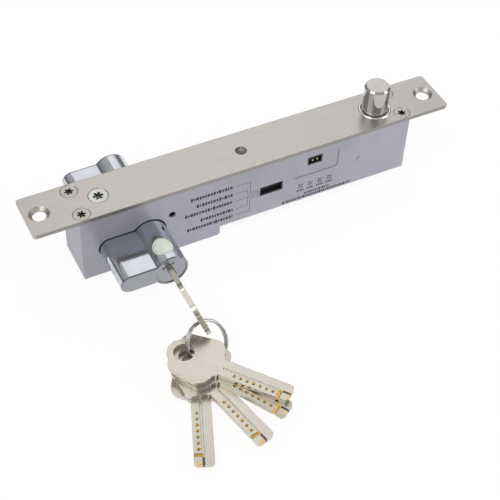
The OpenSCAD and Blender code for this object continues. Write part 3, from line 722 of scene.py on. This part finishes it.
WHITE = Finish("white_plastic", (0.78, 0.76, 0.7), 0.5, edge=0.15, relief=0.1)
BLUE = Finish("relay_blue", (0.02, 0.06, 0.28), 0.35, coat=0.3, edge=0.2, relief=0.08)
GREEN = Board("board_green", (0.012, 0.09, 0.035), 0.35, coat=0.4, edge=0.05, relief=0.25)
COPPER = Wound("copper_wire", (0.6, 0.24, 0.08), 0.3, 0.9, coat=0.3, edge=0.02, relief=0.7)
LENS = Finish("led_dome", (0.42, 0.4, 0.43), 0.1, coat=0.8, edge=0.05, relief=0.02, alpha=0.75)
BEZEL = Finish("bezel_grey", (0.1, 0.09, 0.105), 0.35, coat=0.2, edge=0.15, relief=0.05)
INK = Printed("side_ink", (0.015, 0.015, 0.025), 0.5, edge=0.01, relief=0.05)
PAPER = Sticky("blank_sticker", (0.8, 0.86, 0.76), 0.35, coat=0.3, edge=0.02, relief=0.05)


@dataclass
class KeySet:
    """The keys: one in the cylinder and four loose ones on the ring.

    The sizes are those of the CAD model, so that each key's dimples and notch can be coloured in
    the key's own frame.
    """

    blade: float = 33.5
    hole: float = 50.5
    thick: float = 2.3
    front_y: float = -37.4
    out: float = 14.1
    turn: float = -20.0
    ring_mid: float = 10.35
    ring_x: float = -54.2
    ring_y: float = -77.1
    ring_low_z: float = -36.45
    ring_outer: float = 11.0
    yaw: float = 20.0
    lean: float = 38.0
    layer_z: float = -33.8
    layer_t: float = 2.4
    headings: tuple[float, ...] = (-112, -77, -59, -51)
    shifts: tuple[float, ...] = (0.6, 1.2, 0.6, 2.4)
    metal: Colour = (0.68, 0.635, 0.555)
    tones: dict[str, float] = field(
        default_factory=lambda: {
            "key_in_lock": 1.1,
            "loose_key_1": 1.0,
            "loose_key_2": 1.05,
            "loose_key_3": 0.85,
            "loose_key_4": 1.0,
        }
    )

    def inserted(self) -> Matrix:
        """Place of the key in the cylinder, in millimetres."""
        tip = (BARREL_X, self.front_y - self.out + self.blade, BARREL_Z)
        lie = Matrix.Rotation(math.radians(90), 4, "Y") @ Matrix.Rotation(math.radians(90), 4, "Z")
        turn = Matrix.Rotation(math.radians(self.turn), 4, "Y")
        centre = Matrix.Translation((0, 0, -self.thick / 2))
        return Matrix.Translation(tip) @ turn @ lie @ centre

    def loose(self, layer: int) -> Matrix:
        """Place of a loose key.

        Args:
            layer: Its layer, from the lowest.

        Returns:
            The place, in millimetres.
        """
        z = self.layer_z + layer * self.layer_t
        yaw, lean = math.radians(self.yaw), math.radians(self.lean)
        ring_z = self.ring_low_z + self.ring_outer * math.cos(lean)
        drop = (z + self.thick / 2 - ring_z) / math.cos(lean)
        reach = math.sqrt(self.ring_mid**2 - drop**2) + self.shifts[layer]
        side = drop * math.sin(lean)
        x = self.ring_x - reach * math.cos(yaw) - side * math.sin(yaw)
        y = self.ring_y - reach * math.sin(yaw) + side * math.cos(yaw)
        heading = Matrix.Rotation(math.radians(self.headings[layer]), 4, "Z")
        return Matrix.Translation((x, y, z)) @ heading @ Matrix.Translation((self.hole, 0, 0))

    def dress(self, nodes: dict[str, bpy.types.Object]) -> None:
        """Gives each key the metal finish in its own frame.

        Args:
            nodes: CAD nodes by name.
        """
        places = {"key_in_lock": self.inserted()}
        layers = range(len(self.headings))
        places.update({f"loose_key_{i + 1}": self.loose(i) for i in layers})
        for name, place in places.items():
            back = place.inverted()
            rows = tuple(tuple(back[i]) for i in range(3))
            base = tuple(self.tones[name] * c for c in self.metal)
            metal = KeyMetal(f"{name}_metal", base, 0.26, 1.0, edge=0.3, relief=0.05, rows=rows)
            dress(nodes[name], metal)
            LOG.info("%s dressed", name)


@dataclass
class PrintedSide:
    """Generic marks on the printed side: rows of bars, leader lines and small blocks.

    A row holds its left end and height. A block row holds its half width, height, bar height and
    bar width, and a caption its two ends, height, bar height and bar width.
    """

    face_y: float = -11.8
    proud: float = 0.02
    rows: tuple[tuple[float, float], ...] = (
        (-32.0, -8.0),
        (-29.0, -13.0),
        (-35.0, -17.7),
        (-27.0, -23.0),
        (-34.0, -27.3),
    )
    row_x: float = -10.0
    row_h: float = 2.1
    bar_w: float = 1.15
    gap: float = 0.36
    line_x: float = -8.3
    jog_x: tuple[float, ...] = (-0.9, -2.2, -2.2, -2.2, -0.9)
    slot_x: float = 4.0
    slot_z: float = -17.2
    wire_step: float = 1.0
    line_w: float = 0.22
    blocks: tuple[float, ...] = (27.0, 32.4, 37.8, 43.2)
    block_rows: tuple[tuple[float, float, float, float], ...] = (
        (1.2, -21.3, 1.0, 0.8),
        (1.2, -22.8, 1.0, 0.6),
        (1.9, -25.0, 1.2, 0.7),
    )
    captions: tuple[tuple[float, float, float, float, float], ...] = (
        (29.4, 43.3, -27.9, 1.3, 0.8),
        (17.3, 55.6, -30.0, 1.5, 0.9),
    )

    def bars(self, x0: float, x1: float, z: float, height: float, wide: float) -> list[list[Point]]:
        """A row of short bars of changing width.

        Args:
            x0: Left end.
            x1: Right end.
            z: Middle height.
            height: Height of the bars.
            wide: Usual width of a bar.

        Returns:
            The bars' corners.
        """
        out, x, i = [], x0, 0
        while x < x1:
            width = wide * (1.0, 0.6, 1.25, 0.8)[i % 4]
            tall = height * (1.0, 0.72, 0.86, 1.0, 0.72)[i % 5] / 2
            end = min(x + width, x1)
            out.append([(x, 0, z - tall), (end, 0, z - tall), (end, 0, z + tall), (x, 0, z + tall)])
            x, i = end + wide * self.gap, i + 1
        return out

    def line(self, start: tuple[float, float], end: tuple[float, float]) -> list[list[Point]]:
        """A thin straight line along X or Z.

        Args:
            start: X and Z of one end.
            end: X and Z of the other.

        Returns:
            The line's corners, in a list of one.
        """
        w = self.line_w / 2
        x0, x1 = sorted((start[0], end[0]))
        z0, z1 = sorted((start[1], end[1]))
        x0, x1, z0, z1 = x0 - w, x1 + w, z0 - w, z1 + w
        return [[(x0, 0, z0), (x1, 0, z0), (x1, 0, z1), (x0, 0, z1)]]

    def build(self) -> None:
        """Makes the marks as one thin mesh on the case."""
        shapes: list[list[Point]] = []
        for end, z in self.rows:
            shapes += self.bars(end, self.row_x, z, self.row_h, self.bar_w)
        middle = len(self.rows) // 2
        for i, ((_, z), jog) in enumerate(zip(self.rows, self.jog_x)):
            end = self.slot_z + (middle - i) * self.wire_step
            shapes += self.line((self.line_x, z), (jog, z))
            shapes += self.line((jog, z), (jog, end))
            shapes += self.line((jog, end), (self.slot_x, end))
        for x in self.blocks:
            for half, z, height, wide in self.block_rows:
                shapes += self.bars(x - half, x + half, z, height, wide)
        for caption in self.captions:
            shapes += self.bars(*caption)
        sheet = bmesh.new()
        y = (self.face_y - self.proud) * MM
        for shape in shapes:
            sheet.faces.new([sheet.verts.new((x * MM, y, z * MM)) for x, _, z in shape])
        bmesh.ops.recalc_face_normals(sheet, faces=sheet.faces)
        for face in sheet.faces:
            if face.normal.y > 0:
                face.normal_flip()
        add_piece("case_marks", sheet, INK, "lock_case")


@dataclass
class Sticker:
    """Blank round sticker on the barrel's top, near its front."""

    middle_y: float = STICKER_Y
    angle: float = 93.0
    radius: float = 5.0
    proud: float = 0.04
    rings: int = 6
    spokes: int = 40

    def build(self) -> None:
        """Makes the sticker, curved over the barrel."""
        disc = bmesh.new()
        turns = [2 * math.pi * i / self.spokes for i in range(self.spokes)]
        centre = disc.verts.new(self.on_barrel(0.0, 0.0))
        last: list[bmesh.types.BMVert] = []
        for ring in range(1, self.rings + 1):
            r = self.radius * ring / self.rings
            row = [disc.verts.new(self.on_barrel(r * math.cos(t), r * math.sin(t))) for t in turns]
            for i in range(self.spokes):
                j = (i + 1) % self.spokes
                if last:
                    disc.faces.new((last[i], row[i], row[j], last[j]))
                else:
                    disc.faces.new((centre, row[i], row[j]))
            last = row
        bmesh.ops.recalc_face_normals(disc, faces=disc.faces)
        for face in disc.faces:
            if face.normal.z < 0:
                face.normal_flip()
            face.smooth = True
        add_piece("round_sticker", disc, PAPER, "lock_case")

    def on_barrel(self, along: float, round_it: float) -> Point:
        """Point on the barrel's skin.

        Args:
            along: Distance along Y from the sticker's middle.
            round_it: Distance round the barrel from the middle.

        Returns:
            The point in metres.
        """
        r = BARREL_R + self.proud
        turn = math.radians(self.angle) - round_it / BARREL_R
        x = BARREL_X + r * math.cos(turn)
        z = BARREL_Z + r * math.sin(turn)
        return (x * MM, (self.middle_y + along) * MM, z * MM)


@dataclass
class Lock:
    """The lock's CAD pieces and the finish that each one has."""

    finishes: dict[str, Finish] = field(
        default_factory=lambda: {
            "faceplate": PLATE_STEEL,
            "case": CASE_PAINT,
            "rear_cover": CASE_PAINT,
            "cover_screws": MACHINED,
            "case_screws": SCREW_STEEL,
            "case_rivet": CASE_PAINT,
            "cylinder_screw": LEG_SCREW,
            "led_bezel": BEZEL,
            "led_lens": LENS,
            "bolt_bush": BUSH,
            "bolt": CHROME,
            "bolt_pin": MACHINED,
            "crank": ZINC,
            "crank_pin": MACHINED,
            "plunger": MACHINED,
            "plunger_pin": MACHINED,
            "plunger_spring": SPRING,
            "solenoid_frame": MACHINED,
            "coil_bobbin": WHITE,
            "coil_winding": COPPER,
            "solenoid_core": MACHINED,
            "circuit_board": GREEN,
            "wire_connector": BLACK,
            "connector_pins": BLACK,
            "delay_header": BLACK,
            "header_pins": GOLD,
            "relay": BLUE,
            "control_chip": BLACK,
            "capacitor": BLACK,
            "door_sensor": BLACK,
            "bolt_sensor": BLACK,
            "override_bar": ZINC,
            "bar_guides": MACHINED,
            "cylinder_body": NICKEL,
            "front_plug": NICKEL,
            "rear_plug": NICKEL,
            "cam": ZINC,
            "plug_clip_front": SPRING,
            "plug_clip_rear": SPRING,
            "front_key_pins": BRASS,
            "rear_key_pins": BRASS,
            "driver_pins": BRASS,
            "pin_springs": SPRING,
            "chamber_plugs": MACHINED,
            "key_ring": CHROME,
        }
    )

    def dress(self, nodes: dict[str, bpy.types.Object]) -> None:
        """Gives each of the lock's CAD nodes its finish.

        Args:
            nodes: CAD nodes by name.
        """
        for name, finish in self.finishes.items():
            dress(nodes[name], finish)
            LOG.info("%s dressed in %s", name, finish.name)


def dress(piece: bpy.types.Object, finish: Finish) -> None:
    """Puts a finish in each of a piece's material slots.

    Args:
        piece: Object with a mesh.
        finish: The finish.
    """
    material = finish.build()
    if not piece.material_slots:
        piece.data.materials.append(material)
    for place in piece.material_slots:
        place.material = material


def add_piece(name: str, mesh: bmesh.types.BMesh, finish: Finish, body: str) -> None:
    """Makes an object of a mesh, dresses it and lets it ride.

    Args:
        name: Name of the piece.
        mesh: Its mesh, which is freed.
        finish: Its finish.
        body: CAD body that it rides on.
    """
    data = bpy.data.meshes.new(name)
    mesh.to_mesh(data)
    mesh.free()
    piece = bpy.data.objects.new(name, data)
    bpy.context.scene.collection.objects.link(piece)
    dress(piece, finish)
    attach(piece, body)
    LOG.info("%s: %d faces on %s", name, len(data.polygons), body)


@dataclass
class Studio:
    """Camera, pale floor, soft lamps and world.

    The camera's place, directions and lens were fitted to the plate, case and cylinder of the
    photograph. Each lamp has a name, a place in metres, a width in metres and a power in watts.
    """

    eye: Point = (-0.193594, -0.368901, 0.383474)
    right: Point = (0.89434, -0.44620, 0.03247)
    up: Point = (0.30832, 0.66733, 0.67794)
    lens: float = 85.56
    sensor: float = 36.0
    target: Point = (0.0, -0.02, -0.02)
    floor_z: float = -37.05
    floor_half: float = 6.0
    floor_tone: Colour = (0.86, 0.86, 0.86)
    white: Colour = (1.0, 1.0, 1.0)
    floor_glow: float = 1.1
    floor_share: float = 0.8
    horizon: float = 0.15
    zenith: float = 0.6
    lamps: tuple[tuple[str, Point, float, float], ...] = (
        ("key_lamp", (-0.45, -0.1, 0.7), 0.5, 1.3),
        ("fill_lamp", (0.46, -0.36, 0.2), 0.35, 0.95),
        ("back_lamp", (0.3, 0.6, 0.7), 0.7, 0.95),
    )

    def camera(self) -> None:
        """Creates the camera at the photograph's angle and makes it the scene's."""
        made = bpy.data.cameras.new("photo_camera")
        made.lens = self.lens
        made.sensor_width = self.sensor
        made.sensor_fit = "HORIZONTAL"
        made.clip_start = 0.01
        made.clip_end = 20.0
        seen = bpy.data.objects.new("photo_camera", made)
        right, up = Vector(self.right).normalized(), Vector(self.up).normalized()
        back = right.cross(up)
        turn = Matrix((right, up, back)).transposed().to_4x4()
        seen.matrix_world = Matrix.Translation(self.eye) @ turn
        bpy.context.scene.collection.objects.link(seen)
        bpy.context.scene.camera = seen

    def ground(self) -> None:
        """Makes the pale floor, which fades to white and keeps the object's shadow."""
        sheet = bmesh.new()
        bmesh.ops.create_grid(sheet, x_segments=8, y_segments=8, size=self.floor_half)
        data = bpy.data.meshes.new("floor")
        sheet.to_mesh(data)
        sheet.free()
        floor = bpy.data.objects.new("floor", data)
        floor.location = (0, 0, self.floor_z * MM)
        bpy.context.scene.collection.objects.link(floor)
        made = bpy.data.materials.new("pale_floor")
        made.use_nodes = True
        graph = Graph(made.node_tree)
        matt = graph.node("ShaderNodeBsdfDiffuse", None, {"Color": self.floor_tone})
        glow = {"Color": self.white, "Strength": self.floor_glow}
        white = graph.node("ShaderNodeEmission", None, glow)
        path = graph.node("ShaderNodeLightPath").socket.node
        rays = ("Is Camera Ray", "Is Glossy Ray", "Is Transmission Ray")
        seen = [Field(graph, path.outputs[name]) for name in rays]
        share = seen[0].high(seen[1]).high(seen[2]) * self.floor_share
        graph.finish(graph.node("ShaderNodeMixShader", None, {0: share, 1: matt, 2: white}))
        data.materials.append(made)

    def world(self) -> None:
        """Sets a surround that camera and transmission rays see as white, and other rays as a sky
        that brightens from the horizon up.
        """
        made = bpy.data.worlds.new("studio_world")
        bpy.context.scene.world = made
        made.use_nodes = True
        graph = Graph(made.node_tree)
        path = graph.node("ShaderNodeLightPath").socket.node
        rays = ("Is Camera Ray", "Is Transmission Ray")
        seen = [Field(graph, path.outputs[name]) for name in rays]
        _, _, height = graph.parts(graph.node("ShaderNodeTexCoord", out="Generated"))
        sky = self.horizon + (self.zenith - self.horizon) * height.step(-0.1, 0.9)
        plain = seen[0].high(seen[1])
        inputs = {"Color": self.white, "Strength": plain + (1.0 - plain) * sky}
        graph.finish(graph.node("ShaderNodeBackground", None, inputs), "ShaderNodeOutputWorld")

    def light(self) -> None:
        """Places the soft lamps, each turned to the object."""
        for name, place, size, power in self.lamps:
            lamp = bpy.data.lights.new(name, "AREA")
            lamp.shape = "SQUARE"
            lamp.size = size
            lamp.energy = power
            made = bpy.data.objects.new(name, lamp)
            away = Vector(place) - Vector(self.target)
            turn = away.to_track_quat("Z", "Y").to_matrix().to_4x4()
            made.matrix_world = Matrix.Translation(place) @ turn
            bpy.context.scene.collection.objects.link(made)

    def build(self) -> None:
        """Sets up everything round the object."""
        bpy.context.scene.view_settings.view_transform = "Standard"
        self.camera()
        self.ground()
        self.world()
        self.light()
        LOG.info("studio ready")


def main() -> None:
    """Builds the scene in order and reports each piece."""
    logging.basicConfig(level=logging.INFO, format="%(name)s: %(message)s")
    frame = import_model()
    Studio().build()
    Lock().dress(frame["nodes"])
    KeySet().dress(frame["nodes"])
    PrintedSide().build()
    Sticker().build()


if __name__ == "__main__":
    main()
